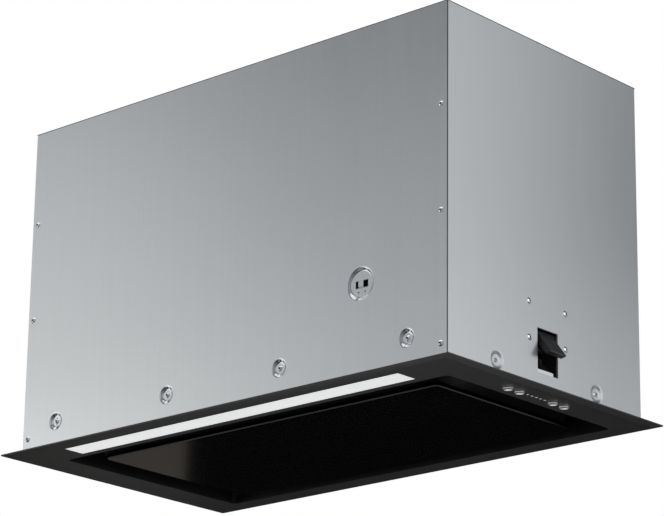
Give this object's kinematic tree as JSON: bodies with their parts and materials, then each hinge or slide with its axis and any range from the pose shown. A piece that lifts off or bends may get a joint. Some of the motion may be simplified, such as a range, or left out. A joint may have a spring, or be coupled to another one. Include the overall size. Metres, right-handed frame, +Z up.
{
  "type": "built-in range hood",
  "caption": "Built-in range hood: galvanised casing, black flange, hinged black glass intake panel, light bar, push buttons, side clamps, blower and round duct collar with flaps.",
  "frame": {"origin": "middle of the casing's footprint, level with the flange's flat underside", "axes": "+X along the width to the right, -Y to the front with the light bar, +Z up through the duct collar"},
  "size_m": [0.52, 0.287, 0.3482],
  "materials": {
    "galvanised": "matt galvanised sheet",
    "rivet_metal": "bright",
    "flange_black": "satin black",
    "tray_dark": "satin dark",
    "black_glass": "polished black glass",
    "steel": "plain steel",
    "spring_steel": "spring steel",
    "catch_plastic": "matt",
    "filter_metal": "satin",
    "latch_plastic": "grey",
    "channel_metal": "bright",
    "white_plastic": "white",
    "opal": "opal white",
    "circuit_white": "white solder mask",
    "circuit_green": "green solder mask",
    "housing_plastic": "black",
    "lens_clear": "clear",
    "button_metal": "satin chrome",
    "lever_plastic": "black",
    "duct_plastic": "dark grey",
    "blower_plastic": "grey",
    "wheel_plastic": "black",
    "motor_metal": "dark grey",
    "box_plastic": "off white",
    "capacitor_case": "white",
    "gland_plastic": "black",
    "lead_sheath": "grey sheath"
  },
  "bodies": {
    "hood": {"front_panel": "galvanised", "back_panel": "galvanised", "left_side_panel": "galvanised", "right_side_panel": "galvanised", "top_panel": "galvanised", "edge_rivets": "rivet_metal", "seat_rivets": "rivet_metal", "top_rivets": "rivet_metal", "flange_frame": "flange_black", "intake_tray": "tray_dark", "hinge_arms": "steel", "panel_catches": "catch_plastic", "filter_frame": "filter_metal", "filter_mesh": "filter_metal", "light_channel": "channel_metal", "light_end_caps": "white_plastic", "led_board": "circuit_white", "light_diffuser": "opal", "control_housing": "housing_plastic", "button_board": "circuit_green", "indicator_lenses": "lens_clear", "left_clamp_bracket": "galvanised", "right_clamp_bracket": "galvanised", "clamp_pins": "steel", "left_clamp_spring": "spring_steel", "right_clamp_spring": "spring_steel", "clamp_rivets": "rivet_metal", "duct_collar": "duct_plastic", "collar_screws": "steel", "damper_pin": "steel", "outlet_adapter": "duct_plastic", "blower_housing_left": "blower_plastic", "blower_housing_right": "blower_plastic", "motor": "motor_metal", "motor_bracket": "steel", "blower_screws": "steel", "control_box": "box_plastic", "control_box_cover": "box_plastic", "power_board": "circuit_green", "run_capacitor": "capacitor_case", "cable_gland": "gland_plastic", "gland_nut": "gland_plastic", "control_lead": "lead_sheath", "lead_grommet": "gland_plastic", "light_lead": "lead_sheath", "motor_lead": "lead_sheath"},
    "intake_panel": {"glass_panel": "black_glass", "panel_tray": "tray_dark", "hinge_pins": "steel"},
    "fan_wheel": {"impeller": "wheel_plastic", "motor_shaft": "steel"},
    "front_flap": {"front_damper_flap": "duct_plastic"},
    "back_flap": {"back_damper_flap": "duct_plastic"},
    "light_key": {"light_button": "button_metal"},
    "slower_key": {"slower_button": "button_metal"},
    "faster_key": {"faster_button": "button_metal"},
    "power_key": {"power_button": "button_metal"},
    "latch": {"filter_latch": "latch_plastic"},
    "right_clamp": {"right_clamp_lever": "lever_plastic"},
    "left_clamp": {"left_clamp_lever": "lever_plastic"}
  },
  "joints": [
    {"name": "panel_hinge", "type": "hinge", "parent": "hood", "child": "intake_panel", "pos_m": [0, 0.096, 0.009], "axis": [1, 0, 0], "range_deg": [0, 88]},
    {"name": "fan_spin", "type": "hinge", "parent": "hood", "child": "fan_wheel", "pos_m": [0, -0.034, 0.146], "axis": [1, 0, 0], "continuous": true},
    {"name": "front_flap_hinge", "type": "hinge", "parent": "hood", "child": "front_flap", "pos_m": [0, 0.04, 0.3184], "axis": [-1, 0, 0], "range_deg": [0, 76]},
    {"name": "back_flap_hinge", "type": "hinge", "parent": "hood", "child": "back_flap", "pos_m": [0, 0.04, 0.3184], "axis": [1, 0, 0], "range_deg": [0, 76]},
    {"name": "light_press", "type": "slide", "parent": "hood", "child": "light_key", "axis": [0, 0, 1], "range_m": [0, 0.0008], "stiffness_N_per_m": 1500, "springref_m": -0.0008},
    {"name": "slower_press", "type": "slide", "parent": "hood", "child": "slower_key", "axis": [0, 0, 1], "range_m": [0, 0.0008], "stiffness_N_per_m": 1500, "springref_m": -0.0008},
    {"name": "faster_press", "type": "slide", "parent": "hood", "child": "faster_key", "axis": [0, 0, 1], "range_m": [0, 0.0008], "stiffness_N_per_m": 1500, "springref_m": -0.0008},
    {"name": "power_press", "type": "slide", "parent": "hood", "child": "power_key", "axis": [0, 0, 1], "range_m": [0, 0.0008], "stiffness_N_per_m": 1500, "springref_m": -0.0008},
    {"name": "latch_slide", "type": "slide", "parent": "hood", "child": "latch", "axis": [0, 1, 0], "range_m": [0, 0.005], "stiffness_N_per_m": 400, "springref_m": -0.004},
    {"name": "right_clamp_hinge", "type": "hinge", "parent": "hood", "child": "right_clamp", "pos_m": [0.2415, 0, 0.0518], "axis": [0, 1, 0], "range_deg": [0, 37], "stiffness_Nm_per_rad": 0.25, "springref_deg": -20.05},
    {"name": "left_clamp_hinge", "type": "hinge", "parent": "hood", "child": "left_clamp", "pos_m": [-0.2415, 0, 0.0518], "axis": [0, -1, 0], "range_deg": [0, 37], "stiffness_Nm_per_rad": 0.25, "springref_deg": -20.05}
  ]
}
